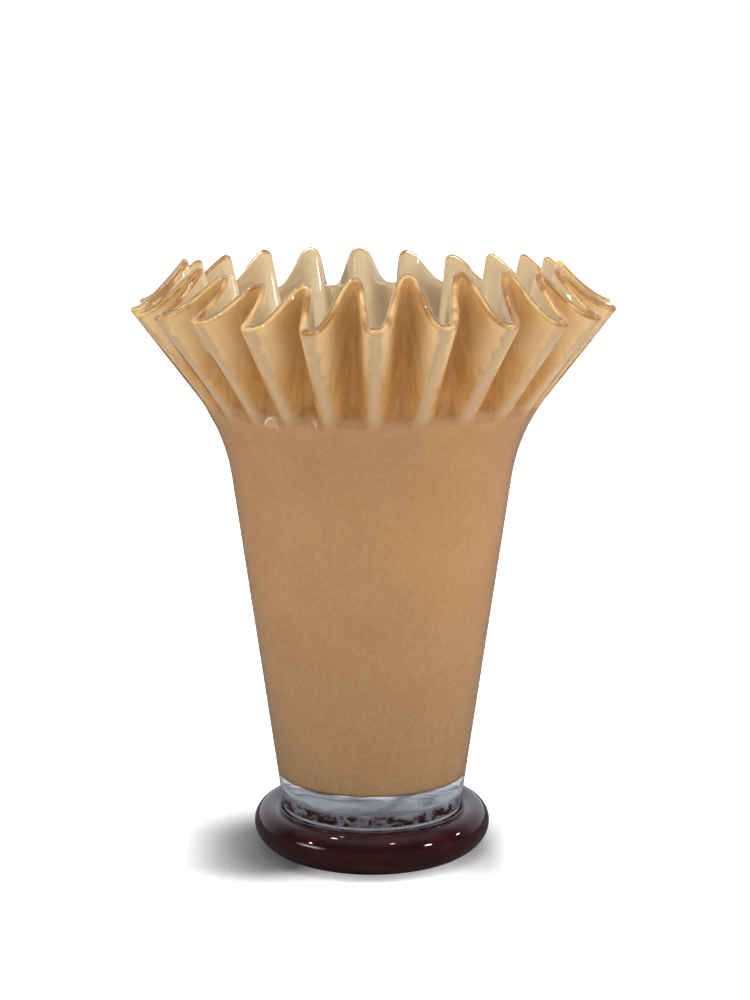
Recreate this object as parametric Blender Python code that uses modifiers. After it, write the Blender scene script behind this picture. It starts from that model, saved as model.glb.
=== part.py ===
"""Pleated glass vase: a tapered blown body whose mouth is drawn into radial folds, on an applied ring foot.

Lengths are metres and angles are degrees. +Z is up, the vase stands on z = 0, and the front faces -Y.
"""

import math

import bmesh
import bpy
import numpy as np

OBJECT_NAME = "pleated_glass_vase"

# Body: the outside of the cone, and the thick clear base under its floor
HEIGHT = 0.250
BASE_UNDERSIDE_Z = 0.0145
BASE_RADIUS = 0.0377
BASE_EDGE_ROUND = 0.0044
CONE_ANGLE = 8.1
FLOOR_Z = 0.0345
FLOOR_ROUND = 0.009
WALL = 0.0040
LIP_WALL = 0.0032

# Mouth: where the wall bends outward, parts into ridges and folds, and how far those reach
BEND_START_Z = 0.160
BEND_CORNER_Z = 0.180
BEND_LENGTH = 0.018
PARTING = 0.8
RIDGE_TIP_RADIUS = 0.0988
RIDGE_TIP_Z = 0.2300
FOLD_TIP_RADIUS = 0.0765
FOLD_PINCH = 0.0012
FOLD_CORNER_RISE = 0.0060
FOLD_BEND_LENGTH = 0.0070

# Pleats: their number and roundness, and the unevenness of hand work
PLEATS = 23
PLEAT_ROUNDNESS = 1.2
RIDGE_TIGHTNESS = 0.42
LIP_RIDGE_TIGHTNESS = 0.15
FOLD_LEAN = 1.8
FOLD_SHARPNESS = 1.5
FIRST_RIDGE_ANGLE = 3.65
SPACING_SWAYS = ((2.1, 1, 247.0), (2.0, 2, 179.0))
FOLD_DROP = 0.0019
FOLD_SWAYS = ((0.0008, 2, 273.0), (0.0006, 3, 255.0), (0.0015, 4, 228.0), (0.0004, 8, 138.0))
RIDGE_SWAY = 0.0009
RIDGE_SWAY_LOBES = 5

# Ring foot: the round section that the base sits in
FOOT_RADIUS = 0.0498
FOOT_WIDEST_Z = 0.0118
FOOT_CREST_RADIUS = 0.0430
FOOT_CREST_Z = 0.0198
FOOT_SEAT_LIP_Z = 0.0172
FOOT_REST_OUTER_RADIUS = 0.0335
FOOT_REST_INNER_RADIUS = 0.0300
FOOT_BORE_BULGE = 0.0035
SEAT_CLEARANCE = 0.0003

# Mesh fineness
PLEAT_PHASES = (0, 28, 58, 96, 138, 180, 222, 264, 302, 332)
ROUND_PHASES = (0, 120, 240)
CONE_ROWS = 2
SWELL_ROWS = 4
PARTING_ROWS = 3
FLARE_ROWS = 3
LIP_ROWS = 3
ROUND_ROWS = 3
FOOT_CREST_ROWS = 3
FOOT_SHOULDER_ROWS = 4
FOOT_BELLY_ROWS = 5
FOOT_BORE_ROWS = 3
FOOT_STEPS = 52
STEP_FOR_SLOPE = 1e-4
MERGE_DISTANCE = 1e-5

# Glass
TAN_GLASS = (0.52, 0.33, 0.17, 1.0)
TAN_ROUGHNESS = 0.06
BURGUNDY_GLASS = (0.035, 0.006, 0.009, 1.0)
BURGUNDY_ROUGHNESS = 0.05
GLASS_IOR = 1.5
GLASS_COAT = 0.6


def clear_scene():
    for obj in list(bpy.data.objects):
        bpy.data.objects.remove(obj, do_unlink=True)


def glass_material(name, colour, roughness):
    material = bpy.data.materials.new(name)
    material.use_nodes = True
    shader = material.node_tree.nodes["Principled BSDF"]
    shader.inputs["Base Color"].default_value = colour
    shader.inputs["Roughness"].default_value = roughness
    shader.inputs["Metallic"].default_value = 0.0
    shader.inputs["IOR"].default_value = GLASS_IOR
    shader.inputs["Coat Weight"].default_value = GLASS_COAT
    material.diffuse_color = colour
    return material


def link_object(name, mesh, material, collection):
    mesh.materials.append(material)
    for face in mesh.polygons:
        face.use_smooth = True
    obj = bpy.data.objects.new(name, mesh)
    collection.objects.link(obj)
    return obj


def unit(vector):
    return vector / np.linalg.norm(vector)


def cone_radius(z):
    """Radius of the cone's outside at a height."""
    return BASE_RADIUS + (z - BASE_UNDERSIDE_Z - BASE_EDGE_ROUND) * math.tan(math.radians(CONE_ANGLE))


def middle_of_cone(z):
    """The point (radius, height) midway through the cone's wall."""
    return np.array([cone_radius(z) - 0.5 * WALL / math.cos(math.radians(CONE_ANGLE)), z])


def corner_centre(plane_z, radius, line_inset):
    """Centre of the round between a level plane and the cone line that lies line_inset inside its outside."""
    centre_z = plane_z + radius
    inset = (radius + line_inset) / math.cos(math.radians(CONE_ANGLE))
    return np.array([cone_radius(centre_z) - inset, centre_z])


def arc(centre, radius, start, end, steps):
    """Points (radius, height) along an arc, with angles measured up from the outward direction."""
    angles = np.radians(np.linspace(start, end, steps + 1))
    return [centre + radius * np.array([math.cos(a), math.sin(a)]) for a in angles]


def quarter_ellipse(level_end, upright_end, steps):
    """Points from level_end, where the curve runs level, to upright_end, where it runs upright."""
    centre = np.array([level_end[0], upright_end[1]])
    across = upright_end[0] - level_end[0]
    rise = level_end[1] - upright_end[1]
    angles = np.linspace(0.5 * math.pi, 0.0, steps + 1)
    return [centre + np.array([across * math.cos(a), rise * math.sin(a)]) for a in angles]


def curve(start, corner, end, t):
    """A point along the curve that leaves start towards corner and reaches end from it."""
    return start * (1 - t) ** 2 + corner * 2 * t * (1 - t) + end * t ** 2


def sways_at(sways, turn):
    return sum(size * math.cos(lobes * turn - math.radians(angle)) for size, lobes, angle in sways)


def ridge_line(turn, s):
    """Middle of the wall up an outward ridge: its bend for s = 1 to 3, then straight to the tip at 4.

    At s = 2 the folds part from it, a share PARTING of the way round the bend.
    """
    sway = RIDGE_SWAY * math.sin(RIDGE_SWAY_LOBES * turn)
    corner = middle_of_cone(BEND_CORNER_Z)
    tip = np.array([RIDGE_TIP_RADIUS - 0.5 * LIP_WALL + sway, RIDGE_TIP_Z + sway])
    end = corner + unit(tip - corner) * BEND_LENGTH
    if s >= 3:
        return end + (tip - end) * (s - 3)
    bend_share = PARTING * (s - 1) if s <= 2 else PARTING + (1 - PARTING) * (s - 2)
    return curve(middle_of_cone(BEND_START_Z), corner, end, bend_share)


def fold_line(turn, s):
    """Middle of the wall up an inward fold: it parts from the ridges at s = 2 and is straight from 3 to 4."""
    start = ridge_line(turn, 2)
    corner = start + np.array([-FOLD_PINCH, FOLD_CORNER_RISE])
    drop = FOLD_DROP + sways_at(FOLD_SWAYS, turn)
    tip = np.array([FOLD_TIP_RADIUS, HEIGHT - 0.5 * LIP_WALL - drop])
    end = corner + unit(tip - corner) * FOLD_BEND_LENGTH
    if s >= 3:
        return end + (tip - end) * (s - 3)
    return curve(start, corner, end, s - 2)


def swayed(turn):
    """The azimuth of an evenly spaced turn, after the sway that hand work gives the spacing."""
    return turn + math.radians(FIRST_RIDGE_ANGLE + sways_at(SPACING_SWAYS, turn))


def pleat_share(phase, s):
    """How far a point lies from the ridge line (0) to the fold line (1). Ridges are the tighter bends."""
    tightness = RIDGE_TIGHTNESS + (LIP_RIDGE_TIGHTNESS - RIDGE_TIGHTNESS) * 0.5 * (s - 2)
    wave = math.sin(PLEAT_ROUNDNESS * math.cos(phase + tightness * math.sin(phase)))
    return 0.5 * (1 - wave / math.sin(PLEAT_ROUNDNESS))


def middle(turn, s):
    """A point midway through the wall. The turn goes round the vase, and s climbs it:

    0 to 1 is the cone, 1 to 2 its outward swell, 2 to 3 the parting of the pleats, 3 to 4 their flare.
    """
    azimuth = swayed(turn)
    if s <= 1:
        start_z = FLOOR_Z + FLOOR_ROUND
        radius, z = middle_of_cone(start_z + (BEND_START_Z - start_z) * s)
    elif s <= 2:
        radius, z = ridge_line(turn, s)
    else:
        phase = PLEATS * turn
        share = pleat_share(phase, s)
        ridge = ridge_line(turn, s)
        fold = fold_line(turn, s)
        radius = ridge[0] + (fold[0] - ridge[0]) * share
        z = ridge[1] + (fold[1] - ridge[1]) * share ** FOLD_SHARPNESS
        azimuth += 0.5 * math.radians(FOLD_LEAN) * (1 - math.cos(phase)) * 0.5 * (s - 2)
    return np.array([radius * math.sin(azimuth), -radius * math.cos(azimuth), z])


def half_wall(s):
    return 0.5 * (WALL + (LIP_WALL - WALL) * 0.5 * max(0.0, s - 2))


def wall_point(turn, s, angle):
    """A point on the skin: angle 0 is the outside, 180 the inside, and between them the rounded lip."""
    step = STEP_FOR_SLOPE
    along = middle(turn + step, s) - middle(turn - step, s)
    up = unit(middle(turn, s + step) - middle(turn, s - step))
    outward = unit(np.cross(along, up))
    a = math.radians(angle)
    return middle(turn, s) + half_wall(s) * (math.cos(a) * outward + math.sin(a) * up)


def turns(phases):
    """Turn angles of the samples at these phases of every pleat."""
    return [2 * math.pi * (pleat + phase / 360) / PLEATS for pleat in range(PLEATS) for phase in phases]


def level_row(radius, z):
    """A plain round row of the body."""
    azimuths = [swayed(turn) for turn in turns(ROUND_PHASES)]
    return [np.array([radius * math.sin(a), -radius * math.cos(a), z]) for a in azimuths]


def skin_row(s, angle):
    phases = ROUND_PHASES if s < 2 else PLEAT_PHASES
    return [wall_point(turn, s, angle) for turn in turns(phases)]


def body_rows():
    """Rows of the body, from the middle of its underside up the outside, over the lip and down inside."""
    edge = corner_centre(BASE_UNDERSIDE_Z, BASE_EDGE_ROUND, 0.0)
    well = corner_centre(FLOOR_Z, FLOOR_ROUND, WALL)
    climb = []
    for start, steps in enumerate((CONE_ROWS, SWELL_ROWS, PARTING_ROWS, FLARE_ROWS)):
        climb += [start + i / steps for i in range(steps)]
    climb.append(4.0)

    rows = [[np.array([0.0, 0.0, BASE_UNDERSIDE_Z])]]
    rows += [level_row(*p) for p in arc(edge, BASE_EDGE_ROUND, -90, -CONE_ANGLE, ROUND_ROWS)]
    rows += [skin_row(s, 0) for s in climb]
    rows += [skin_row(4.0, 180 * i / LIP_ROWS) for i in range(1, LIP_ROWS)]
    rows += [skin_row(s, 180) for s in reversed(climb[1:])]
    rows += [level_row(*p) for p in arc(well, FLOOR_ROUND, -CONE_ANGLE, -90, ROUND_ROWS)]
    rows += [[np.array([0.0, 0.0, FLOOR_Z])]]
    return rows


def stitch(bm, low, high):
    """Faces between two rows: quads where they match, else triangles that share out the longer row."""
    if len(low) == len(high):
        for i in range(len(low)):
            j = (i + 1) % len(low)
            bm.faces.new((low[i], low[j], high[j], high[i]))
        return
    i = 0
    j = 0
    while i + j < (len(low) if len(low) > 1 else 0) + (len(high) if len(high) > 1 else 0):
        here_low = low[i % len(low)]
        here_high = high[j % len(high)]
        if len(low) > 1 and (len(high) == 1 or (i + 0.5) * len(high) <= (j + 0.5) * len(low)):
            i += 1
            bm.faces.new((here_low, low[i % len(low)], here_high))
        else:
            j += 1
            bm.faces.new((here_low, high[j % len(high)], here_high))


def blown_body(collection, material):
    """The body in one piece: a loft from the round base to the pleated mouth, and back down inside."""
    bm = bmesh.new()
    rows = [[bm.verts.new(point) for point in row] for row in body_rows()]
    for low, high in zip(rows, rows[1:]):
        stitch(bm, low, high)
    mesh = bpy.data.meshes.new("blown_body")
    bm.to_mesh(mesh)
    bm.free()
    return link_object("blown_body", mesh, material, collection)


def foot_profile():
    """Section of the ring foot, from the lip of its seat over the crest and round the outside."""
    edge = corner_centre(BASE_UNDERSIDE_Z, BASE_EDGE_ROUND, 0.0)
    seat_radius = BASE_EDGE_ROUND + SEAT_CLEARANCE
    lip_angle = math.degrees(math.asin((FOOT_SEAT_LIP_Z - edge[1]) / seat_radius))
    seat = arc(edge, seat_radius, -90, lip_angle, ROUND_ROWS)
    crest = np.array([FOOT_CREST_RADIUS, FOOT_CREST_Z])
    widest = np.array([FOOT_RADIUS, FOOT_WIDEST_Z])
    rest = np.array([FOOT_REST_OUTER_RADIUS, 0.0])
    under_top_z = BASE_UNDERSIDE_Z - SEAT_CLEARANCE
    bulge = np.array([FOOT_REST_INNER_RADIUS - FOOT_BORE_BULGE, 0.5 * under_top_z])

    points = quarter_ellipse(crest, seat[-1], FOOT_CREST_ROWS)[::-1]
    points += quarter_ellipse(crest, widest, FOOT_SHOULDER_ROWS)[1:]
    points += quarter_ellipse(rest, widest, FOOT_BELLY_ROWS)[::-1][1:]
    bore_foot = np.array([FOOT_REST_INNER_RADIUS, 0.0])
    bore_top = np.array([FOOT_REST_INNER_RADIUS, under_top_z])
    points += quarter_ellipse(bore_foot, bulge, FOOT_BORE_ROWS)
    points += quarter_ellipse(bore_top, bulge, FOOT_BORE_ROWS)[::-1][1:]
    points += seat[:-1]
    return points


def foot_ring(collection, material):
    """The ring foot: its section turned round the vase's axis."""
    points = foot_profile()
    mesh = bpy.data.meshes.new("foot_ring")
    edges = [(i, (i + 1) % len(points)) for i in range(len(points))]
    mesh.from_pydata([(p[0], 0.0, p[1]) for p in points], edges, [])
    obj = link_object("foot_ring", mesh, material, collection)
    turn = obj.modifiers.new("turn", "SCREW")
    turn.axis = "Z"
    turn.steps = FOOT_STEPS
    turn.render_steps = FOOT_STEPS
    turn.use_merge_vertices = True
    turn.merge_threshold = MERGE_DISTANCE
    turn.use_smooth_shade = True
    return obj


def main():
    clear_scene()
    collection = bpy.data.collections.new(OBJECT_NAME)
    bpy.context.scene.collection.children.link(collection)
    blown_body(collection, glass_material("tan_cased_glass", TAN_GLASS, TAN_ROUGHNESS))
    foot_ring(collection, glass_material("burgundy_glass", BURGUNDY_GLASS, BURGUNDY_ROUGHNESS))


main()
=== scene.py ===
"""Looks of the pleated glass vase: cased tan glass in clear glass, on a burgundy ring foot.

Lengths are metres. The vase stands on z = 0 round the z axis, and its front faces -Y.
"""

import math

import bpy
import numpy as np
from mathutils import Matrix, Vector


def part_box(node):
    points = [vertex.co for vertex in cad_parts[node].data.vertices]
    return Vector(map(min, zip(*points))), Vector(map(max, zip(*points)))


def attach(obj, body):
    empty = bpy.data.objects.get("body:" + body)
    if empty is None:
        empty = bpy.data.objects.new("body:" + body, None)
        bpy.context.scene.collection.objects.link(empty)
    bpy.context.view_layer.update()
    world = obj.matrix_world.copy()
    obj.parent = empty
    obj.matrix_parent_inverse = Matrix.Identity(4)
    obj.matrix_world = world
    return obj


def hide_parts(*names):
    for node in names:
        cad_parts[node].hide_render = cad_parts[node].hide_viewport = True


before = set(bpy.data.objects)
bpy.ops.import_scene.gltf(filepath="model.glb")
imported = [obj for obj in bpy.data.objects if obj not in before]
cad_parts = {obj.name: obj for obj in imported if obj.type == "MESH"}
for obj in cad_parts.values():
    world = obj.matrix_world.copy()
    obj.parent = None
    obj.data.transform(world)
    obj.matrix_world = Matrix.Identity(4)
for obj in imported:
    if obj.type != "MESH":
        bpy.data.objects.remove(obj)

bl_info = {
    "name": "Pleated glass vase",
    "version": (1, 0, 0),
    "blender": (4, 5, 0),
    "location": "3D View > Sidebar > Vase",
    "description": "Builds a cased glass vase with a pleated mouth and its ring foot",
    "category": "Object",
}

FOOT_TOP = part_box("foot_ring")[1][2]

# Unevenness of hand work, as in the part's source
SPACING_SWAYS = ((2.1, 1, 247.0), (2.0, 2, 179.0))
FOLD_SWAYS = ((0.0008, 2, 273.0), (0.0006, 3, 255.0), (0.0015, 4, 228.0), (0.0004, 8, 138.0))
RIDGE_SWAY = 0.0009
RIDGE_SWAY_LOBES = 5
FIRST_RIDGE_ANGLE = 3.65

# Shape of the pleats
PLEAT_ROUNDNESS = 1.2
RIDGE_TIGHTNESS = 0.42
LIP_RIDGE_TIGHTNESS = 0.15
FOLD_LEAN = 1.8
FOLD_SHARPNESS = 1.5
PARTING = 0.8
FOLD_PINCH = 0.0012
FOLD_CORNER_RISE = 0.0060
FOLD_BEND_LENGTH = 0.0070

# How far up and down the wall the directions look at the crease where the folds part
CREASE_REACH = 0.2

# Where the tan glass starts to move from the inside to mid-wall
LINING_SHIFT_START = 3.6

# Step of the slopes that the wall's directions come from
SLOPE_STEP = 1e-4

# Mesh fineness
SAMPLES_A_PLEAT = 24
CONE_ROWS = 10
SWELL_ROWS = 12
PARTING_ROWS = 14
FLARE_ROWS = 14
LIP_ROWS = 10
ROUND_ROWS = 8
FOOT_STEPS = 240
FOOT_ROUND_ROWS = 14

# Marks that the tan glass's colours follow: centimetres behind the ridges, place up the wall, and the inside
MARKS = ("depth", "climbed", "inner")

# Where the clear base changes: past its underside, past the tan glass's underside, and over the table, where
# a painted highlight runs along the top of the ring
UNDER_EDGE = (0.0016, 0.0026)
# Under the tan glass the base turns bluish grey: partly its own tint, partly a painted view of a grey-blue
# room
THICK_EDGE = (-0.0006, 0.0008)
# Painted refraction: this far under the tan glass and lower, the burgundy seat is painted as dark red mottles
SEAT_REFRACTION_EDGE = (-0.0095, -0.0055)
SEAT_HIGHLIGHT_START = (0.0188, 0.0194)
SEAT_HIGHLIGHT_END = (0.0199, 0.0205)

# Places up the wall between which its colours change, from 2 where the folds part to 4 at the lip
CLEAR_LIP = (3.97, 4.0)
PALE_RIDGES = (1.9, 3.6)
NARROW_BOTTOMS = (2.3, 3.1)
DARK_BOTTOMS = (2.2, 3.35)
BLOTCHED_BOTTOMS = (2.4, 3.2)
GOLDEN_TOPS = (3.25, 3.75)
CREAM_TOPS = (3.5, 4.0)
TAN_LIP = (3.985, 3.999)

# Centimetres behind the ridges over which the amber starts, and over which the golden tops fade, so that
# painted shade stays deep in the folds
AMBER_DEPTH = (0.03, 0.20)
GOLDEN_DEPTH = (0.5, 1.5)

# Heights between which the painted shade on the cone fades, so that the tan lightens upward
CONE_SHADE_FADES = (0.03, 0.15)

# The floor, and the shade on it: where it starts and ends along X and along Y, and how dark it is
FLOOR_RINGS = (0.25, 0.6, 1.5, 4.0, 9.0)
FLOOR_STEPS = 96
FLOOR_WHITENS = (0.05, 0.15)
SHADE_LEFT = (-0.050, -0.010)
SHADE_LEFT_END = (-0.110, -0.050)
SHADE_RIGHT = (0.020, 0.052)
SHADE_RIGHT_END = (0.047, 0.069)
SHADE_FRONT = (-0.065, -0.025)
SHADE_BACK = (0.01, 0.07)
SHADE_REACH = 0.13
SHADE_SOFTNESS = 0.6
SHADE_STRENGTH = 1.75
SHADE_MOST = 0.84

# The studio's brightness along an axis: the axis, its start and end, and how dim and bright it is there
STUDIO_LIGHT = (("Z", -0.1, 0.9, 0.80, 1.05), ("Y", -0.2, 0.7, 0.75, 0.95))
STUDIO_MIRRORED = (("Z", 0.45, 0.95, 0.07, 0.5), ("Y", 0.0, 0.8, 0.07, 1.0))
BLACK = (0.0, 0.0, 0.0, 1)
WHITE = (1.0, 1.0, 1.0, 1)

# Camera
CAMERA_PLACE = (0.0013, -0.900, 0.318)
CAMERA_PITCH = math.radians(10.6)
CAMERA_LENS = 79.5
CAMERA_SENSOR = 36.0

# Lamps that light the vase: name, place, width, height and watts
LAMP_TARGET = (0.0, 0.0, 0.13)
LAMPS = (
    ("key_right", (1.3, 0.0, 0.6), 0.6, 0.6, 9),
    ("fill_left", (-1.3, -0.3, 0.5), 0.7, 0.9, 4),
    ("top", (0.0, -0.3, 1.3), 0.8, 0.8, 9),
)

# Lamps that only show mirrored: name, azimuth from the front to +X, elevation, width, height, brightness
GLINT_TARGET = (0.0, 0.0, 0.1)
GLINT_DISTANCE = 1.6
GLINTS = (
    ("spot_right", 56, 14, 0.20, 0.13, 50),
    ("spot_side", 95, 18, 0.12, 0.10, 50),
    ("spot_left", -62, 18, 0.11, 0.09, 50),
    ("spot_high", -71, 65, 0.14, 0.10, 50),
    ("spot_front", 25, 48, 0.12, 0.08, 40),
    ("streak_left", -60, 2, 0.60, 0.14, 5),
    ("haze_left", -60, 3, 0.95, 0.36, 1.5),
)


class VaseSizes(bpy.types.PropertyGroup):
    """Sizes of the blown body and its tan lining"""

    height: bpy.props.FloatProperty(
        name="Height", description="Table to the top of the folds", default=0.250, unit="LENGTH")
    base_radius: bpy.props.FloatProperty(
        name="Base radius", description="Outside of the cone just over its base",
        default=0.0377, unit="LENGTH")
    base_underside: bpy.props.FloatProperty(
        name="Base underside", description="Height of the clear base's underside",
        default=0.0145, unit="LENGTH")
    base_edge_round: bpy.props.FloatProperty(
        name="Base edge", description="Round of the clear base's lower edge", default=0.0044, unit="LENGTH")
    cone_angle: bpy.props.FloatProperty(
        name="Cone angle", description="Lean of the cone's side", default=math.radians(8.1), unit="ROTATION")
    floor: bpy.props.FloatProperty(
        name="Floor", description="Height of the well's floor", default=0.0345, unit="LENGTH")
    floor_round: bpy.props.FloatProperty(
        name="Floor round", description="Round between the well's floor and side",
        default=0.009, unit="LENGTH")
    wall: bpy.props.FloatProperty(
        name="Wall", description="Thickness of the cone's wall", default=0.0040, unit="LENGTH")
    lip_wall: bpy.props.FloatProperty(
        name="Lip", description="Thickness of the glass at the lip", default=0.0032, unit="LENGTH")
    bend_start: bpy.props.FloatProperty(
        name="Bend start", description="Height where the side starts to bend out",
        default=0.160, unit="LENGTH")
    bend_corner: bpy.props.FloatProperty(
        name="Bend corner", description="Height where cone and pleats would meet",
        default=0.180, unit="LENGTH")
    bend_length: bpy.props.FloatProperty(
        name="Bend length", description="Length of the bend past its corner", default=0.018, unit="LENGTH")
    ridge_tip_radius: bpy.props.FloatProperty(
        name="Ridge reach", description="Radius of the ridge tips", default=0.0988, unit="LENGTH")
    ridge_tip_height: bpy.props.FloatProperty(
        name="Ridge height", description="Height of the ridge tips", default=0.2300, unit="LENGTH")
    fold_tip_radius: bpy.props.FloatProperty(
        name="Fold reach", description="Radius of the fold tips", default=0.0765, unit="LENGTH")
    fold_drop: bpy.props.FloatProperty(
        name="Fold drop", description="Mean drop of the fold tips", default=0.0019, unit="LENGTH")
    pleats: bpy.props.IntProperty(
        name="Pleats", description="Number of ridges round the mouth", default=23, min=7, max=60)
    skin: bpy.props.FloatProperty(
        name="Inner skin", description="Clear glass inside the tan lining", default=0.00035, unit="LENGTH")
    lining: bpy.props.FloatProperty(
        name="Lining", description="Thickness of the tan glass", default=0.0011, unit="LENGTH")
    lining_bottom: bpy.props.FloatProperty(
        name="Lining bottom", description="Height of the tan glass's underside",
        default=0.0336, unit="LENGTH")
    lining_corner: bpy.props.FloatProperty(
        name="Lining corner", description="Round of the tan glass's lower corner",
        default=0.0012, unit="LENGTH")
    clear_lip: bpy.props.FloatProperty(
        name="Clear lip", description="Clear glass over the tan at the lip", default=0.0002, unit="LENGTH")


class FootSizes(bpy.types.PropertyGroup):
    """Sizes of the ring foot"""

    radius: bpy.props.FloatProperty(
        name="Radius", description="Widest radius of the ring", default=0.0498, unit="LENGTH")
    widest_height: bpy.props.FloatProperty(
        name="Widest height", description="Height of the widest place", default=0.0118, unit="LENGTH")
    crest_radius: bpy.props.FloatProperty(
        name="Crest radius", description="Radius of the ring's crest", default=0.0430, unit="LENGTH")
    crest_height: bpy.props.FloatProperty(
        name="Crest height", description="Height of the ring's crest", default=FOOT_TOP, unit="LENGTH")
    seat_lip_height: bpy.props.FloatProperty(
        name="Seat lip", description="Height of the seat's lip", default=0.0172, unit="LENGTH")
    rest_outer_radius: bpy.props.FloatProperty(
        name="Rest outside", description="Outside of the band that rests", default=0.0335, unit="LENGTH")
    rest_inner_radius: bpy.props.FloatProperty(
        name="Rest inside", description="Inside of the band that rests", default=0.0300, unit="LENGTH")
    bore_bulge: bpy.props.FloatProperty(
        name="Bore bulge", description="How far the bore's side bulges in", default=0.0035, unit="LENGTH")
    seat_gap: bpy.props.FloatProperty(
        name="Seat gap", description="Air between the ring and the clear base where they don't touch",
        default=0.00004, unit="LENGTH")


class VaseColours(bpy.types.PropertyGroup):
    """Colours of the glass and the floor"""

    tan: bpy.props.FloatVectorProperty(
        name="Tan", description="Tan glass on the cone",
        size=4, subtype="COLOR", min=0, max=1, default=(0.585, 0.328, 0.146, 1))
    tan_cloud: bpy.props.FloatVectorProperty(
        name="Tan clouds", description="Lighter clouds in the tan glass",
        size=4, subtype="COLOR", min=0, max=1, default=(0.660, 0.400, 0.190, 1))
    # Painted shade: the tan darkens towards the base
    low_tan_shade: bpy.props.FloatVectorProperty(
        name="Low tan", description="Tan glass just over the base",
        size=4, subtype="COLOR", min=0, max=1, default=(0.330, 0.200, 0.100, 1))
    grain: bpy.props.FloatVectorProperty(
        name="Grain", description="Pale grains in the tan glass",
        size=4, subtype="COLOR", min=0, max=1, default=(0.840, 0.660, 0.420, 1))
    # Partly the ridges' own pale tan, partly painted light that shines through the ridges
    ridge: bpy.props.FloatVectorProperty(
        name="Ridge", description="Pale tan glass on the ridges",
        size=4, subtype="COLOR", min=0, max=1, default=(0.665, 0.473, 0.274, 1))
    cream: bpy.props.FloatVectorProperty(
        name="Cream", description="Tan glass inside the mouth",
        size=4, subtype="COLOR", min=0, max=1, default=(0.840, 0.655, 0.410, 1))
    cream_low: bpy.props.FloatVectorProperty(
        name="Low cream", description="Tan glass lower down inside the vase",
        size=4, subtype="COLOR", min=0, max=1, default=(0.960, 0.790, 0.520, 1))
    amber: bpy.props.FloatVectorProperty(
        name="Amber", description="Tan glass in the folds",
        size=4, subtype="COLOR", min=0, max=1, default=(0.720, 0.375, 0.105, 1))
    amber_streak: bpy.props.FloatVectorProperty(
        name="Amber streaks", description="Lighter streaks in the folds",
        size=4, subtype="COLOR", min=0, max=1, default=(0.840, 0.500, 0.180, 1))
    amber_low: bpy.props.FloatVectorProperty(
        name="Low amber", description="Amber glass at the bottom of the folds",
        size=4, subtype="COLOR", min=0, max=1, default=(0.500, 0.220, 0.055, 1))
    amber_blotch: bpy.props.FloatVectorProperty(
        name="Amber blotches", description="Dark blotches at the bottom of the folds",
        size=4, subtype="COLOR", min=0, max=1, default=(0.400, 0.160, 0.040, 1))
    # Partly the glass's own golden colour near the lip, partly painted light on fold tops that lie in shade
    golden_tint_and_light: bpy.props.FloatVectorProperty(
        name="Golden top", description="Amber glass close to the lip",
        size=4, subtype="COLOR", min=0, max=1, default=(0.980, 0.710, 0.370, 1))
    lip_brown: bpy.props.FloatVectorProperty(
        name="Lip brown", description="Dark stretches of the lip",
        size=4, subtype="COLOR", min=0, max=1, default=(0.460, 0.230, 0.075, 1))
    lip_gold: bpy.props.FloatVectorProperty(
        name="Lip gold", description="Golden stretches of the lip",
        size=4, subtype="COLOR", min=0, max=1, default=(0.840, 0.600, 0.290, 1))
    clear: bpy.props.FloatVectorProperty(
        name="Clear", description="Tint of the clear glass",
        size=4, subtype="COLOR", min=0, max=1, default=(0.985, 0.990, 0.995, 1))
    lip_clear: bpy.props.FloatVectorProperty(
        name="Clear lip", description="Golden tint of the clear glass at the lip",
        size=4, subtype="COLOR", min=0, max=1, default=(0.920, 0.840, 0.700, 1))
    # Partly the clear base's own bluish tint, partly a painted view of a grey-blue room through the thick
    # glass
    thick: bpy.props.FloatVectorProperty(
        name="Thick glass", description="Bluish tint of the clear glass at the base",
        size=4, subtype="COLOR", min=0, max=1, default=(0.520, 0.550, 0.630, 1))
    # Painted refraction: the burgundy seat seen through the clear base, as dark red mottles
    seat_refraction: bpy.props.FloatVectorProperty(
        name="Flecks", description="Dark red flecks low in the clear base",
        size=4, subtype="COLOR", min=0, max=1, default=(0.030, 0.010, 0.010, 1))
    # Painted highlight: a bright line where the clear base meets the ring
    painted_seat_highlight: bpy.props.FloatVectorProperty(
        name="Seat line", description="Bright line where the clear base meets the ring",
        size=4, subtype="COLOR", min=0, max=1, default=(0.700, 0.730, 0.780, 1))
    burgundy: bpy.props.FloatVectorProperty(
        name="Burgundy", description="Deep red of the foot",
        size=4, subtype="COLOR", min=0, max=1, default=(0.016, 0.003, 0.004, 1))
    burgundy_light: bpy.props.FloatVectorProperty(
        name="Burgundy swirls", description="Lighter red in the foot",
        size=4, subtype="COLOR", min=0, max=1, default=(0.032, 0.006, 0.006, 1))
    floor: bpy.props.FloatVectorProperty(
        name="Floor", description="Pale floor",
        size=4, subtype="COLOR", min=0, max=1, default=(0.880, 0.880, 0.880, 1))
    floor_speck: bpy.props.FloatVectorProperty(
        name="Floor specks", description="Slightly darker specks of the floor",
        size=4, subtype="COLOR", min=0, max=1, default=(0.820, 0.820, 0.820, 1))
    shade: bpy.props.FloatVectorProperty(
        name="Shade", description="Floor in the shade of the foot",
        size=4, subtype="COLOR", min=0, max=1, default=(0.020, 0.020, 0.020, 1))
    dark_floor: bpy.props.FloatVectorProperty(
        name="Mirrored floor", description="Floor as the glass mirrors it",
        size=4, subtype="COLOR", min=0, max=1, default=(0.100, 0.100, 0.110, 1))
    room: bpy.props.FloatVectorProperty(
        name="Room", description="Colour of the room that the glass mirrors",
        size=4, subtype="COLOR", min=0, max=1, default=(0.860, 0.900, 1.000, 1))


def unit(vectors):
    return vectors / np.linalg.norm(vectors, axis=-1, keepdims=True)


def pair(radius, height):
    """Points (radius, height) of a section, one for each turn."""
    radius, height = np.broadcast_arrays(radius, height)
    return np.stack([radius, height], axis=-1)


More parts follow.
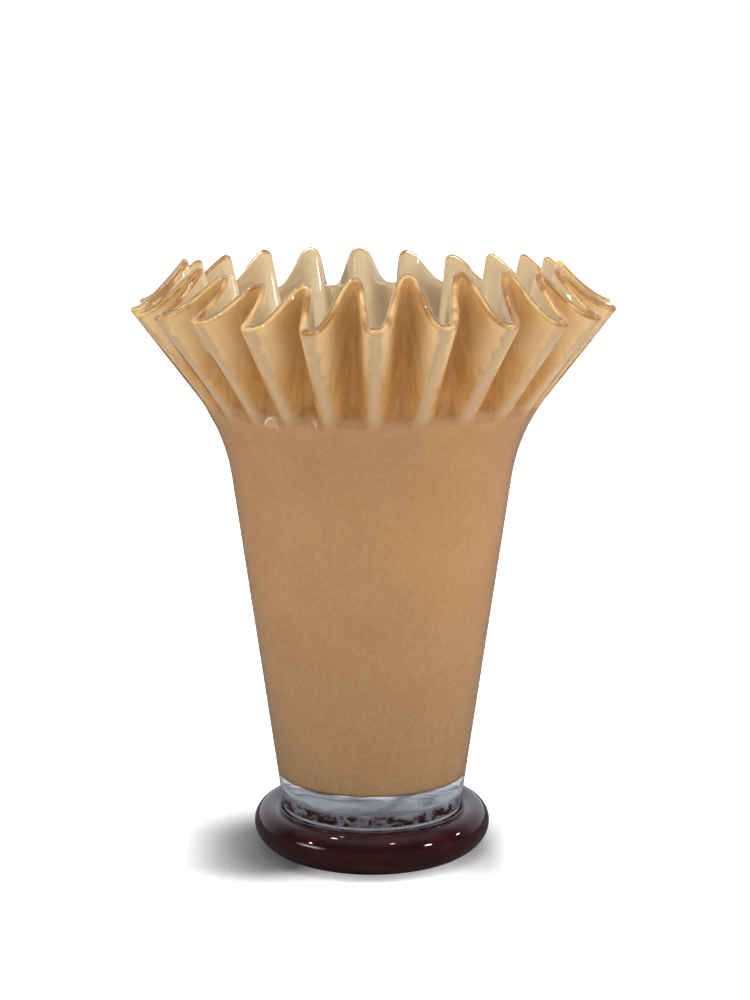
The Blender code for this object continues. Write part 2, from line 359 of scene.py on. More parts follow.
def cone_radius(sizes, z):
    start = sizes.base_underside + sizes.base_edge_round
    return sizes.base_radius + (z - start) * math.tan(sizes.cone_angle)


def middle_of_cone(sizes, z):
    return np.array([cone_radius(sizes, z) - 0.5 * sizes.wall / math.cos(sizes.cone_angle), z])


def corner_centre(sizes, plane_z, radius, line_inset):
    """Centre of the round between a level plane and the line that lies line_inset inside the cone."""
    centre_z = plane_z + radius
    inset = (radius + line_inset) / math.cos(sizes.cone_angle)
    return np.array([cone_radius(sizes, centre_z) - inset, centre_z])


def arc(centre, radius, start, end, steps):
    """Points (radius, height) along an arc, with angles in radians measured up from the outward direction."""
    angles = np.linspace(start, end, steps + 1)
    return [centre + radius * np.array([math.cos(a), math.sin(a)]) for a in angles]


def quarter_ellipse(level_end, upright_end, steps):
    """Points from level_end, where the curve runs level, to upright_end, where it runs upright."""
    centre = np.array([level_end[0], upright_end[1]])
    across = upright_end[0] - level_end[0]
    rise = level_end[1] - upright_end[1]
    angles = np.linspace(0.5 * math.pi, 0.0, steps + 1)
    return [centre + np.array([across * math.cos(a), rise * math.sin(a)]) for a in angles]


def curve(start, corner, end, t):
    return start * (1 - t) ** 2 + corner * 2 * t * (1 - t) + end * t ** 2


def sways_at(sways, turn):
    return sum(size * np.cos(lobes * turn - math.radians(angle)) for size, lobes, angle in sways)


def ridge_line(sizes, turn, s):
    """Middle of the wall up an outward ridge: its bend for s = 1 to 3, then straight to the tip at 4."""
    sway = RIDGE_SWAY * np.sin(RIDGE_SWAY_LOBES * turn)
    corner = middle_of_cone(sizes, sizes.bend_corner)
    tip = pair(sizes.ridge_tip_radius - 0.5 * sizes.lip_wall + sway, sizes.ridge_tip_height + sway)
    end = corner + unit(tip - corner) * sizes.bend_length
    if s >= 3:
        return end + (tip - end) * (s - 3)
    share = PARTING * (s - 1) if s <= 2 else PARTING + (1 - PARTING) * (s - 2)
    return curve(middle_of_cone(sizes, sizes.bend_start), corner, end, share)


def fold_line(sizes, turn, s):
    """Middle of the wall up an inward fold: it parts from the ridges at s = 2 and is straight from 3 to 4."""
    start = ridge_line(sizes, turn, 2)
    corner = start + np.array([-FOLD_PINCH, FOLD_CORNER_RISE])
    drop = sizes.fold_drop + sways_at(FOLD_SWAYS, turn)
    tip = pair(sizes.fold_tip_radius, sizes.height - 0.5 * sizes.lip_wall - drop)
    end = corner + unit(tip - corner) * FOLD_BEND_LENGTH
    if s >= 3:
        return end + (tip - end) * (s - 3)
    return curve(start, corner, end, s - 2)


def swayed(turn):
    """Azimuths after the sway that hand work gives the spacing."""
    return turn + math.radians(FIRST_RIDGE_ANGLE) + np.radians(sways_at(SPACING_SWAYS, turn))


def pleat_share(phase, s):
    """How far a point lies from the ridge line (0) towards the fold line (1)."""
    tightness = RIDGE_TIGHTNESS + (LIP_RIDGE_TIGHTNESS - RIDGE_TIGHTNESS) * 0.5 * (s - 2)
    wave = np.sin(PLEAT_ROUNDNESS * np.cos(phase + tightness * np.sin(phase)))
    return 0.5 * (1 - wave / math.sin(PLEAT_ROUNDNESS))


def middle(sizes, turn, s):
    """Points midway through the wall. s is 0 to 1 up the cone, to 2 up its swell, to 4 up the pleats."""
    azimuth = swayed(turn)
    if s <= 1:
        start_z = sizes.floor + sizes.floor_round
        radius, z = middle_of_cone(sizes, start_z + (sizes.bend_start - start_z) * s)
    elif s <= 2:
        section = ridge_line(sizes, turn, s)
        radius, z = section[:, 0], section[:, 1]
    else:
        phase = sizes.pleats * turn
        share = pleat_share(phase, s)
        ridge = ridge_line(sizes, turn, s)
        fold = fold_line(sizes, turn, s)
        radius = ridge[:, 0] + (fold[:, 0] - ridge[:, 0]) * share
        z = ridge[:, 1] + (fold[:, 1] - ridge[:, 1]) * share ** FOLD_SHARPNESS
        azimuth = azimuth + 0.5 * math.radians(FOLD_LEAN) * (1 - np.cos(phase)) * 0.5 * (s - 2)
    return np.stack(np.broadcast_arrays(radius * np.sin(azimuth), -radius * np.cos(azimuth), z), axis=-1)


def half_wall(sizes, s):
    return 0.5 * (sizes.wall + (sizes.lip_wall - sizes.wall) * 0.5 * max(0.0, s - 2))


def directions(sizes, turn, s):
    """Unit vectors out of the wall and up it at each turn. They turn softly past the crease where the folds
    part, so that the rows inside it don't cross."""
    along = middle(sizes, turn + SLOPE_STEP, s) - middle(sizes, turn - SLOPE_STEP, s)
    reach = max(SLOPE_STEP, CREASE_REACH - 0.5 * abs(s - 2))
    here = middle(sizes, turn, s)
    up = unit(unit(middle(sizes, turn, s + reach) - here) + unit(here - middle(sizes, turn, s - reach)))
    return unit(np.cross(along, up)), up


def offset_row(sizes, turn, s, offset):
    """Points at an offset from the middle of the wall, outward where it is positive."""
    outward, _ = directions(sizes, turn, s)
    return middle(sizes, turn, s) + offset * outward


def edge_row(sizes, turn, s, centre_offset, radius, angle):
    """Points round an edge: angle 0 faces out, pi faces in, and half pi faces up the wall."""
    outward, up = directions(sizes, turn, s)
    out = centre_offset + radius * math.cos(angle)
    return middle(sizes, turn, s) + out * outward + radius * math.sin(angle) * up


def level_row(turn, radius, z):
    azimuth = swayed(turn)
    return np.stack([radius * np.sin(azimuth), -radius * np.cos(azimuth), np.full(len(turn), z)], axis=-1)


def all_turns(sizes):
    count = sizes.pleats * SAMPLES_A_PLEAT
    return 2 * math.pi * np.arange(count) / count


def climb(last):
    """Values of s from the foot of the cone to last."""
    steps = []
    for start, rows in enumerate((CONE_ROWS, SWELL_ROWS, PARTING_ROWS, FLARE_ROWS)):
        steps += [start + (min(last, start + 1) - start) * i / rows for i in range(rows)]
    return steps + [last]


def fold_depth(sizes, turn, s):
    """How far behind the ridges each point lies, in centimetres, which is none on the cone."""
    if s <= 2:
        return np.zeros(len(turn))
    gap = np.linalg.norm(fold_line(sizes, turn, s) - ridge_line(sizes, turn, s), axis=-1)
    return 100 * gap * pleat_share(sizes.pleats * turn, s)


def linked(name, data):
    """A new object that shows the data, linked to the scene."""
    obj = bpy.data.objects.new(name, data)
    bpy.context.scene.collection.objects.link(obj)
    return obj


def smooth_piece(mesh):
    mesh.polygons.foreach_set("use_smooth", [True] * len(mesh.polygons))
    mesh.update()
    return linked(mesh.name, mesh)


def cup(name, rows):
    """A closed mesh through level rings of points. The first and the last row are single points."""
    points = np.concatenate([row[0] for row in rows])
    marks = np.concatenate([row[1] for row in rows])
    counts = [len(row[0]) for row in rows]
    starts = np.concatenate([[0], np.cumsum(counts)])
    faces = []
    for k in range(len(rows) - 1):
        low, high = starts[k], starts[k + 1]
        n = max(counts[k], counts[k + 1])
        for i in range(n):
            j = (i + 1) % n
            if counts[k] == 1:
                faces.append((low, high + j, high + i))
            elif counts[k + 1] == 1:
                faces.append((low + i, low + j, high))
            else:
                faces.append((low + i, low + j, high + j, high + i))
    mesh = bpy.data.meshes.new(name)
    mesh.from_pydata(points.tolist(), [], [tuple(int(v) for v in face) for face in faces])
    for column, label in enumerate(MARKS):
        layer = mesh.attributes.new(label, "FLOAT", "POINT")
        layer.data.foreach_set("value", np.ascontiguousarray(marks[:, column], dtype=np.float32))
    return smooth_piece(mesh)


def marked(points, depth=0.0, climbed=0.0, inner=0.0):
    """A row of points with its marks: depth behind the ridges, place up the wall, and 1 on the inside."""
    marks = [np.broadcast_to(mark, len(points)) for mark in (depth, climbed, inner)]
    return points, np.stack(marks, axis=-1)


def wall_row(sizes, turn, s, offset, inner=0.0):
    return marked(offset_row(sizes, turn, s, offset), fold_depth(sizes, turn, s), s, inner)


def round_rows(turn, centre, radius, start, end, inner=0.0):
    """Level rows round a corner of the section."""
    points = arc(centre, radius, start, end, ROUND_ROWS)
    return [marked(level_row(turn, *point), inner=inner) for point in points]


def casing_rows(sizes):
    """Rows of the clear glass: the whole outside and inside of the blown body."""
    turn = all_turns(sizes)
    edge = corner_centre(sizes, sizes.base_underside, sizes.base_edge_round, 0.0)
    well = corner_centre(sizes, sizes.floor, sizes.floor_round, sizes.wall)
    lean = -sizes.cone_angle
    steps = climb(4.0)
    rows = [marked(np.array([[0.0, 0.0, sizes.base_underside]]))]
    rows += round_rows(turn, edge, sizes.base_edge_round, -math.pi / 2, lean)
    rows += [wall_row(sizes, turn, s, half_wall(sizes, s)) for s in steps]
    for i in range(1, LIP_ROWS):
        lip = edge_row(sizes, turn, 4.0, 0.0, half_wall(sizes, 4.0), math.pi * i / LIP_ROWS)
        rows.append(marked(lip, fold_depth(sizes, turn, 4.0), 4.0))
    rows += [wall_row(sizes, turn, s, -half_wall(sizes, s), 1.0) for s in reversed(steps[1:])]
    rows += round_rows(turn, well, sizes.floor_round, lean, -math.pi / 2)
    rows += [marked(np.array([[0.0, 0.0, sizes.floor]]))]
    return rows


def lining_middle(sizes, s):
    """Offset of the tan glass's middle. It lies near the inside, and moves to mid-wall at the lip."""
    inside = -half_wall(sizes, s) + sizes.skin + 0.5 * sizes.lining
    return inside * (1 - min(1.0, max(0.0, (s - LINING_SHIFT_START) / (4 - LINING_SHIFT_START))))


def lining_rows(sizes):
    """Rows of the tan glass: a thin cup inside the clear glass, thicker at its sharp lower corner."""
    turn = all_turns(sizes)
    lean = -sizes.cone_angle
    inner_line = sizes.wall - sizes.skin
    outer_line = sizes.wall - sizes.skin - sizes.lining
    corner = corner_centre(sizes, sizes.lining_bottom, sizes.lining_corner, outer_line)
    well_round = sizes.floor_round + sizes.skin
    well = corner_centre(sizes, sizes.floor - sizes.skin, well_round, inner_line)
    flare = sizes.height - sizes.bend_corner - sizes.bend_length
    steps = climb(4.0 - sizes.clear_lip / flare)
    last = steps[-1]
    rows = [marked(np.array([[0.0, 0.0, sizes.lining_bottom]]))]
    rows += round_rows(turn, corner, sizes.lining_corner, -math.pi / 2, lean)
    half = 0.5 * sizes.lining
    centre = lining_middle(sizes, last)
    for s in steps:
        rows.append(wall_row(sizes, turn, s, lining_middle(sizes, s) + half))
    for i in range(1, LIP_ROWS):
        lip = edge_row(sizes, turn, last, centre, half, math.pi * i / LIP_ROWS)
        rows.append(marked(lip, fold_depth(sizes, turn, last), 4.0))
    rows += [wall_row(sizes, turn, s, lining_middle(sizes, s) - half, 1.0) for s in reversed(steps[1:])]
    rows += round_rows(turn, well, well_round, lean, -math.pi / 2, 1.0)
    rows += [marked(np.array([[0.0, 0.0, sizes.floor - sizes.skin]]), inner=1.0)]
    return rows


def foot_profile(sizes, foot):
    """Section of the ring foot, from the lip of its seat over the crest and round the outside."""
    edge = corner_centre(sizes, sizes.base_underside, sizes.base_edge_round, 0.0)
    seat_radius = sizes.base_edge_round + foot.seat_gap
    lip_angle = math.asin((foot.seat_lip_height - edge[1]) / seat_radius)
    seat = arc(edge, seat_radius, -math.pi / 2, lip_angle, FOOT_ROUND_ROWS)
    crest = np.array([foot.crest_radius, foot.crest_height])
    widest = np.array([foot.radius, foot.widest_height])
    rest = np.array([foot.rest_outer_radius, 0.0])
    under_top_z = sizes.base_underside - foot.seat_gap
    bulge = np.array([foot.rest_inner_radius - foot.bore_bulge, 0.5 * under_top_z])
    points = quarter_ellipse(crest, seat[-1], FOOT_ROUND_ROWS)[::-1]
    points += quarter_ellipse(crest, widest, FOOT_ROUND_ROWS)[1:]
    points += quarter_ellipse(rest, widest, FOOT_ROUND_ROWS)[::-1][1:]
    points += quarter_ellipse(np.array([foot.rest_inner_radius, 0.0]), bulge, FOOT_ROUND_ROWS)
    under = np.array([foot.rest_inner_radius, under_top_z])
    points += quarter_ellipse(under, bulge, FOOT_ROUND_ROWS)[::-1][1:]
    return points + seat[1:-1]


def turned(name, points, steps):
    """A section turned round the vase's axis."""
    count = len(points)
    section = np.array(points)
    angles = 2 * math.pi * np.arange(steps) / steps
    radii, heights = section[:, 0], section[:, 1]
    vertices = np.concatenate([
        np.stack([radii * math.sin(a), -radii * math.cos(a), heights], axis=-1) for a in angles])
    faces = []
    for i in range(steps):
        low, high = i * count, (i + 1) % steps * count
        for j in range(count):
            k = (j + 1) % count
            faces.append((low + j, low + k, high + k, high + j))
    mesh = bpy.data.meshes.new(name)
    mesh.from_pydata(vertices.tolist(), [], faces)
    return smooth_piece(mesh)


class Nodes:
    """A node tree, with short calls that add and link its nodes."""

    def __init__(self, tree):
        self.tree = tree

    def add(self, kind, **values):
        node = self.tree.nodes.new(kind)
        for name, value in values.items():
            setattr(node, name, value)
        return node

    def link(self, source, target):
        self.tree.links.new(source, target)

    def fill(self, socket, value):
        if isinstance(value, bpy.types.NodeSocket):
            self.link(value, socket)
        else:
            socket.default_value = value

    def axes(self, vector):
        node = self.add("ShaderNodeSeparateXYZ")
        self.link(vector, node.inputs["Vector"])
        return node.outputs

    def ramp(self, source, low, high, to_low=0.0, to_high=1.0):
        """A soft step from to_low, where the source is low, to to_high, where it is high."""
        node = self.add("ShaderNodeMapRange", interpolation_type="SMOOTHSTEP")
        self.link(source, node.inputs["Value"])
        limits = (low, high, to_low, to_high)
        for socket, value in zip(("From Min", "From Max", "To Min", "To Max"), limits):
            node.inputs[socket].default_value = value
        return node.outputs["Result"]

    def math(self, operation, first, second):
        node = self.add("ShaderNodeMath", operation=operation)
        self.fill(node.inputs[0], first)
        self.fill(node.inputs[1], second)
        return node.outputs[0]

    def product(self, first, *others):
        for other in others:
            first = self.math("MULTIPLY", first, other)
        return first

    def mix(self, share, first, second):
        node = self.add("ShaderNodeMix", data_type="RGBA")
        self.fill(node.inputs["Factor"], share)
        self.fill(node.inputs[6], first)
        self.fill(node.inputs[7], second)
        return node.outputs[2]

    def seen_plainly(self):
        """1 where the eye meets a surface, straight or through clear glass only, or else 0."""
        path = self.add("ShaderNodeLightPath").outputs
        first = self.math("LESS_THAN", path["Diffuse Depth"], 0.5)
        through = self.product(path["Is Transmission Ray"], first)
        return self.math("MAXIMUM", path["Is Camera Ray"], through)

    def seen_mirrored(self):
        """1 for a ray that a surface mirrors, and 0 for one that glass bends: Cycles calls both glossy."""
        path = self.add("ShaderNodeLightPath").outputs
        return self.product(path["Is Glossy Ray"], path["Is Reflection Ray"])


class MaterialNodes(Nodes):
    """The node tree of a new material."""

    def __init__(self, name):
        self.material = bpy.data.materials.new(name)
        self.material.use_nodes = True
        super().__init__(self.material.node_tree)
        self.shader = self.tree.nodes["Principled BSDF"]
        self.output = self.tree.nodes["Material Output"]
        self.place = self.add("ShaderNodeTexCoord").outputs["Object"]

    def scaled(self, factors):
        node = self.add("ShaderNodeMapping")
        self.link(self.place, node.inputs["Vector"])
        node.inputs["Scale"].default_value = factors
        return node.outputs["Vector"]

    def noise(self, scale, detail=3.0, vector=None, distortion=0.0):
        node = self.add("ShaderNodeTexNoise")
        self.link(vector or self.place, node.inputs["Vector"])
        node.inputs["Scale"].default_value = scale
        node.inputs["Detail"].default_value = detail
        node.inputs["Distortion"].default_value = distortion
        return node.outputs["Fac"]

    def mark(self, name):
        return self.add("ShaderNodeAttribute", attribute_name=name).outputs["Fac"]

    def height(self):
        return self.axes(self.place)["Z"]

    def bump(self, source, distance):
        node = self.add("ShaderNodeBump")
        node.inputs["Strength"].default_value = 1.0
        node.inputs["Distance"].default_value = distance
        self.link(source, node.inputs["Height"])
        self.link(node.outputs["Normal"], self.shader.inputs["Normal"])


def clear_glass(sizes, colours):
    """Clear glass: golden at the lip, and bluish grey and streaky at the thick base, partly its own tint and
    partly a painted view of a grey-blue room. Low in the base lies a painted refraction of the burgundy seat,
    and a painted highlight runs where the base meets the ring. Under the base it is wrinkled and stuck to the
    burgundy glass in patches."""
    n = MaterialNodes("clear_glass")
    height = n.height()
    under = n.ramp(height, *(sizes.base_underside + edge for edge in UNDER_EDGE), 1.0, 0.0)
    patch = n.product(under, n.ramp(n.noise(190, 3.0, None, 0.6), 0.36, 0.52, 0.45, 1.0))
    thick = n.ramp(height, *(sizes.lining_bottom + edge for edge in THICK_EDGE), 1.0, 0.0)
    streak = n.noise(34, 4.0, n.scaled((1.0, 1.0, 6.0)), 1.2)
    # Streaky bluish grey veil: partly the glass's own tint, partly a painted view of a grey-blue room
    tint_and_painted_room = n.product(n.math("SUBTRACT", thick, under), n.ramp(streak, 0.35, 0.65, 0.2, 0.55))
    # Painted refraction of the burgundy seat: dark red mottles low in the clear base
    low = n.ramp(height, *(sizes.lining_bottom + edge for edge in SEAT_REFRACTION_EDGE), 1.0, 0.0)
    seat_refraction = n.noise(210, 5.0, n.scaled((1.0, 1.0, 1.8)), 0.4)
    mottle = n.product(low, n.ramp(seat_refraction, 0.30, 0.56, 0.25, 1.0))
    # Painted highlight: a bright line just over the ring, where the base meets it
    line = n.product(n.ramp(height, *SEAT_HIGHLIGHT_START), n.ramp(height, *SEAT_HIGHLIGHT_END, 0.7, 0.0))
    lip = n.ramp(n.mark("climbed"), *CLEAR_LIP)
    base = n.mix(lip, colours.clear, colours.lip_clear)
    base = n.mix(thick, base, colours.thick)
    base = n.mix(mottle, base, colours.seat_refraction)
    base = n.mix(line, base, colours.painted_seat_highlight)
    n.link(n.mix(patch, base, colours.burgundy_light), n.shader.inputs["Base Color"])
    solid = n.math("MAXIMUM", n.math("MAXIMUM", patch, line), n.math("MAXIMUM", mottle, tint_and_painted_room))
    n.link(n.math("SUBTRACT", 1.0, solid), n.shader.inputs["Transmission Weight"])
    n.shader.inputs["IOR"].default_value = 1.5
    n.link(n.ramp(n.noise(60), 0.35, 0.75, 0.0, 0.02), n.shader.inputs["Roughness"])
    wrinkle = n.product(under, n.noise(240, 2.0), 2.0)
    n.bump(n.math("ADD", n.noise(45, 2.0), wrinkle), 0.00012)
    return n.material


def tan_glass(colours):
    """Opaque tan glass: grainy on the cone and darker towards its base in painted shade, cream on ridges and
    inside, amber and streaky in the folds. The pale ridges are partly painted light, and the golden tops of
    the folds partly painted light, with painted shade kept deep in the folds.
    """
    n = MaterialNodes("tan_glass")
    grain = n.noise(520, 4.0)
    cloud = n.noise(48, 3.0)
    streak = n.noise(260, 5.0, n.scaled((1.0, 1.0, 0.25)), 0.8)
    depth = n.mark("depth")
    climbed = n.mark("climbed")
    inner = n.mark("inner")

    cone = n.mix(n.ramp(cloud, 0.3, 0.7, 0.0, 0.35), colours.tan, colours.tan_cloud)
    # Painted shade: the cone's tan darkens towards its base
    cone = n.mix(n.ramp(n.height(), *CONE_SHADE_FADES, 0.55, 0.0), cone, colours.low_tan_shade)
    # Pale ridges: partly their own colour, partly painted light that shines through them
    base = n.mix(n.ramp(climbed, *PALE_RIDGES), cone, colours.ridge)

    amber = n.mix(n.ramp(streak, 0.35, 0.65), colours.amber, colours.amber_streak)
    amber = n.mix(n.ramp(climbed, *DARK_BOTTOMS, 0.7, 0.0), amber, colours.amber_low)
    blotch = n.ramp(n.noise(170, 4.0), 0.45, 0.65)
    blotch = n.product(blotch, n.ramp(climbed, *BLOTCHED_BOTTOMS, 0.6, 0.0))
    amber = n.mix(blotch, amber, colours.amber_blotch)
    # Golden tops: partly their own colour, partly painted light near the ridges; deep in the folds they stay
    # amber as painted shade
    golden = n.product(n.ramp(climbed, *GOLDEN_TOPS, 0.0, 0.92), n.ramp(depth, *GOLDEN_DEPTH, 1.0, 0.4))
    amber = n.mix(golden, amber, colours.golden_tint_and_light)

    edge = n.math("ADD", depth, n.ramp(streak, 0.3, 0.7, -0.05, 0.05))
    edge = n.math("SUBTRACT", edge, n.ramp(climbed, *NARROW_BOTTOMS, 0.20, 0.0))
    panel = n.product(n.ramp(edge, *AMBER_DEPTH), n.math("SUBTRACT", 1.0, inner))
    base = n.mix(panel, base, amber)
    base = n.mix(inner, base, n.mix(n.ramp(climbed, *CREAM_TOPS), colours.cream_low, colours.cream))
    lip = n.mix(n.ramp(n.noise(75, 2.0), 0.42, 0.58), colours.lip_brown, colours.lip_gold)
    base = n.mix(n.ramp(climbed, *TAN_LIP), base, lip)
    base = n.mix(n.ramp(grain, 0.35, 0.75, 0.0, 0.12), base, colours.grain)
    n.link(base, n.shader.inputs["Base Color"])
    n.link(n.ramp(grain, 0.3, 0.7, 0.35, 0.5), n.shader.inputs["Roughness"])
    n.shader.inputs["Specular IOR Level"].default_value = 0.1
    n.bump(grain, 0.00005)
    return n.material


def burgundy_glass(colours):
    """Deep burgundy glass with soft swirls of lighter red."""
    n = MaterialNodes("burgundy_glass")
    swirl = n.ramp(n.noise(60, 3.0, n.scaled((1.0, 1.0, 2.6)), 1.2), 0.42, 0.72)
    n.link(n.mix(swirl, colours.burgundy, colours.burgundy_light), n.shader.inputs["Base Color"])
    n.shader.inputs["IOR"].default_value = 1.5
    n.link(n.ramp(n.noise(90), 0.3, 0.7, 0.03, 0.07), n.shader.inputs["Roughness"])
    n.bump(n.noise(38, 2.0), 0.00010)
    return n.material


def pale_floor(colours):
    """A pale matt floor that runs out into white away from the vase, with soft shade beside the foot."""
    n = MaterialNodes("pale_floor")
    tone = n.mix(n.ramp(n.noise(300), 0.3, 0.7, 0.0, 0.04), colours.floor, colours.floor_speck)

    axes = n.axes(n.place)
    left = n.ramp(axes["X"], *SHADE_LEFT, 1.0, 0.0)
    right = n.ramp(axes["X"], *SHADE_RIGHT, 0.0, 0.5)
    across = n.product(n.ramp(axes["X"], *SHADE_LEFT_END), n.ramp(axes["X"], *SHADE_RIGHT_END, 1.0, 0.0))
    along = n.product(n.ramp(axes["Y"], *SHADE_FRONT), n.ramp(axes["Y"], *SHADE_BACK, 1.0, 0.0))
    contact = n.add("ShaderNodeAmbientOcclusion", samples=8)
    contact.inputs["Distance"].default_value = SHADE_REACH
    closed = n.math("POWER", n.math("SUBTRACT", 1.0, contact.outputs["AO"]), SHADE_SOFTNESS)
    closed = n.product(closed, SHADE_STRENGTH, n.math("MAXIMUM", left, right), across, along)
    open_air = n.math("SUBTRACT", 1.0, n.math("MINIMUM", SHADE_MOST, closed))

    shaded = n.mix(open_air, colours.shade, tone)
    n.link(n.mix(n.seen_mirrored(), shaded, colours.dark_floor), n.shader.inputs["Base Color"])
    n.shader.inputs["Roughness"].default_value = 0.9
    n.shader.inputs["Specular IOR Level"].default_value = 0.0
    distance = n.add("ShaderNodeVectorMath", operation="LENGTH")
    n.link(n.place, distance.inputs[0])
    white = n.ramp(distance.outputs["Value"], *FLOOR_WHITENS, 0.35, 1.0)
    glow = n.add("ShaderNodeEmission")
    n.link(n.product(white, open_air, n.seen_plainly()), glow.inputs["Strength"])
    both = n.add("ShaderNodeAddShader")
    n.link(n.shader.outputs[0], both.inputs[0])
    n.link(glow.outputs[0], both.inputs[1])
    n.link(both.outputs[0], n.output.inputs["Surface"])
    return n.material


def dress(piece, material, *nodes):
    piece.data.materials.append(material)
    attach(piece, "root")
    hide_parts(*nodes)


class VASE_OT_clear_casing(bpy.types.Operator):
    """Builds the clear glass of the blown body, with its thick base and its rounded lip"""

    bl_idname = "vase.clear_casing"
    bl_label = "Clear casing"

    def execute(self, context):
        scene = context.scene
        piece = cup("clear_casing", casing_rows(scene.vase_sizes))
        dress(piece, clear_glass(scene.vase_sizes, scene.vase_colours), "blown_body")
        return {"FINISHED"}


class VASE_OT_tan_lining(bpy.types.Operator):
    """Builds the tan glass that lines the vase inside the clear casing"""

    bl_idname = "vase.tan_lining"
    bl_label = "Tan lining"

    def execute(self, context):
        scene = context.scene
        piece = cup("tan_lining", lining_rows(scene.vase_sizes))
        dress(piece, tan_glass(scene.vase_colours), "blown_body")
        return {"FINISHED"}


class VASE_OT_ring_foot(bpy.types.Operator):
    """Builds the burgundy ring that the clear base sits in"""

    bl_idname = "vase.ring_foot"
    bl_label = "Ring foot"

    def execute(self, context):
        scene = context.scene
        points = foot_profile(scene.vase_sizes, scene.vase_foot)
        piece = turned("burgundy_ring", points, FOOT_STEPS)
        dress(piece, burgundy_glass(scene.vase_colours), "foot_ring")
        return {"FINISHED"}


def lamp(name, place, target, width, height, power):
    """An area lamp that faces a target. It lights, and glass doesn't mirror it."""
    light = bpy.data.lights.new(name, "AREA")
    light.shape = "RECTANGLE"
    light.size = width
    light.size_y = height
    light.energy = power
    obj = linked(name, light)
    obj.location = place
    x, y, z = np.array(target) - np.array(place)
    obj.rotation_euler = (math.atan2(math.hypot(x, y), -z), 0.0, math.atan2(x, -y) + math.pi)
    obj.visible_camera = False
    obj.visible_glossy = False
    return obj


def glint(name, azimuth, elevation, width, height, brightness):
    """A small far lamp that only shows mirrored: the photo's glints come from such lamps."""
    a, e = math.radians(azimuth), math.radians(elevation)
    away = np.array([math.sin(a) * math.cos(e), -math.cos(a) * math.cos(e), math.sin(e)])
    place = np.array(GLINT_TARGET) + GLINT_DISTANCE * away
    power = brightness * math.pi * width * height
    spot = lamp(name, place, GLINT_TARGET, width, height, power)
    spot.data.shape = "ELLIPSE"
    spot.visible_diffuse = False
    spot.visible_transmission = False
    spot.visible_glossy = True


def studio_world(colours):
    """White for the eye. The glass shows a grey room, which lights the vase from overhead and behind."""
    world = bpy.data.worlds.new("studio")
    world.use_nodes = True
    n = Nodes(world.node_tree)
    background = n.tree.nodes["Background"]
    axes = n.axes(n.add("ShaderNodeTexCoord").outputs["Generated"])

    def brightest(bands):
        return n.math("MAXIMUM", *(n.ramp(axes[axis], *span) for axis, *span in bands))

    light = n.mix(brightest(STUDIO_LIGHT), BLACK, WHITE)
    mirrored = n.mix(brightest(STUDIO_MIRRORED), BLACK, colours.room)
    colour = n.mix(n.seen_mirrored(), light, mirrored)
    n.link(n.mix(n.seen_plainly(), colour, WHITE), background.inputs["Color"])
    background.inputs["Strength"].default_value = 1.0
    bpy.context.scene.world = world


def studio_camera():
    data = bpy.data.cameras.new("photo_camera")
    data.sensor_width = CAMERA_SENSOR
    data.lens = CAMERA_LENS
    data.clip_start = 0.05
    data.clip_end = 50.0
    camera = linked("photo_camera", data)
    camera.location = CAMERA_PLACE
    camera.rotation_euler = (math.radians(90) - CAMERA_PITCH, 0.0, 0.0)
    bpy.context.scene.camera = camera


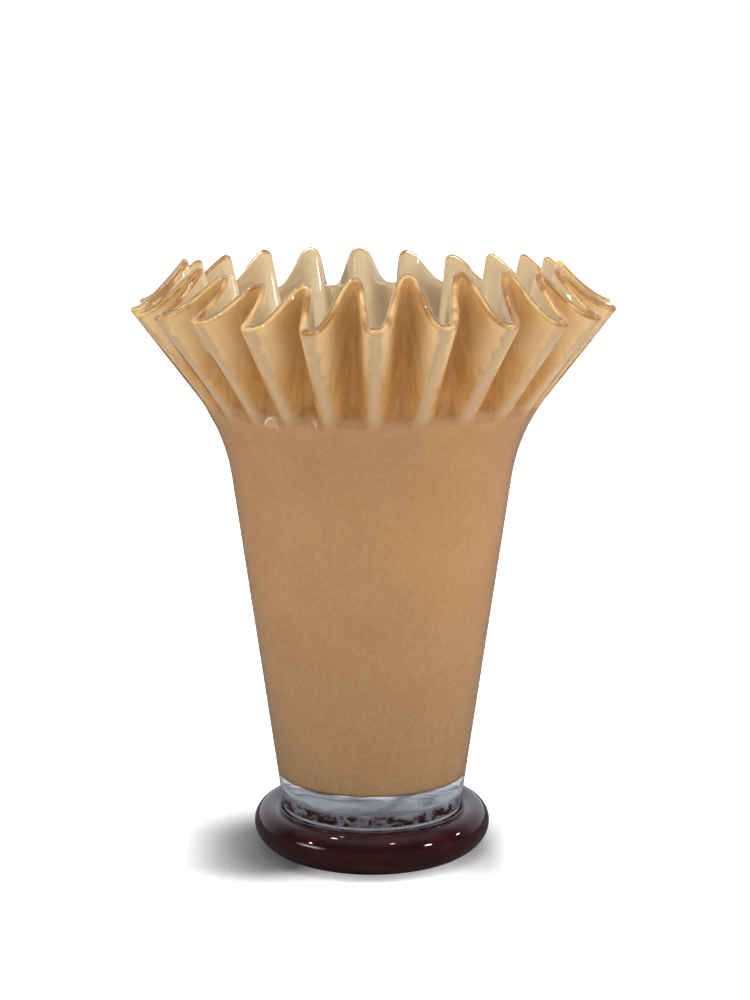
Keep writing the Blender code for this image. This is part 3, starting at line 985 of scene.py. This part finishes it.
def studio_floor(colours):
    """A round level floor."""
    turns = [2 * math.pi * i / FLOOR_STEPS for i in range(FLOOR_STEPS)]
    vertices = [(0.0, 0.0, 0.0)]
    vertices += [(radius * math.cos(a), radius * math.sin(a), 0.0) for radius in FLOOR_RINGS for a in turns]
    faces = []
    for i in range(FLOOR_STEPS):
        j = (i + 1) % FLOOR_STEPS
        faces.append((0, 1 + i, 1 + j))
        for ring in range(len(FLOOR_RINGS) - 1):
            low, high = 1 + ring * FLOOR_STEPS, 1 + (ring + 1) * FLOOR_STEPS
            faces.append((low + i, high + i, high + j, low + j))
    mesh = bpy.data.meshes.new("floor")
    mesh.from_pydata(vertices, [], faces)
    mesh.materials.append(pale_floor(colours))
    linked("floor", mesh)


class VASE_OT_stage(bpy.types.Operator):
    """Sets up the pale floor, the soft lights and the camera"""

    bl_idname = "vase.stage"
    bl_label = "Stage"

    def execute(self, context):
        studio_floor(context.scene.vase_colours)
        studio_world(context.scene.vase_colours)
        studio_camera()
        for name, place, width, height, power in LAMPS:
            lamp(name, place, LAMP_TARGET, width, height, power)
        for values in GLINTS:
            glint(*values)
        context.scene.view_settings.view_transform = "Standard"
        return {"FINISHED"}


class VASE_PT_panel(bpy.types.Panel):
    """Sizes, colours and steps of the vase"""

    bl_idname = "VASE_PT_panel"
    bl_label = "Pleated glass vase"
    bl_space_type = "VIEW_3D"
    bl_region_type = "UI"
    bl_category = "Vase"

    def draw(self, context):
        for step in STEPS:
            self.layout.operator(step.bl_idname)
        for group in ("vase_sizes", "vase_foot", "vase_colours"):
            values = getattr(context.scene, group)
            box = self.layout.box()
            for name in values.__annotations__:
                box.prop(values, name)


STEPS = (VASE_OT_clear_casing, VASE_OT_tan_lining, VASE_OT_ring_foot, VASE_OT_stage)
CLASSES = (VaseSizes, FootSizes, VaseColours, *STEPS, VASE_PT_panel)


def register():
    for kind in CLASSES:
        bpy.utils.register_class(kind)
    bpy.types.Scene.vase_sizes = bpy.props.PointerProperty(type=VaseSizes)
    bpy.types.Scene.vase_foot = bpy.props.PointerProperty(type=FootSizes)
    bpy.types.Scene.vase_colours = bpy.props.PointerProperty(type=VaseColours)


def unregister():
    del bpy.types.Scene.vase_colours
    del bpy.types.Scene.vase_foot
    del bpy.types.Scene.vase_sizes
    for kind in reversed(CLASSES):
        bpy.utils.unregister_class(kind)


def main():
    register()
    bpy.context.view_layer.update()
    bpy.ops.vase.clear_casing()
    bpy.ops.vase.tan_lining()
    bpy.ops.vase.ring_foot()
    bpy.ops.vase.stage()
    bpy.context.view_layer.update()


if __name__ == "__main__":
    main()
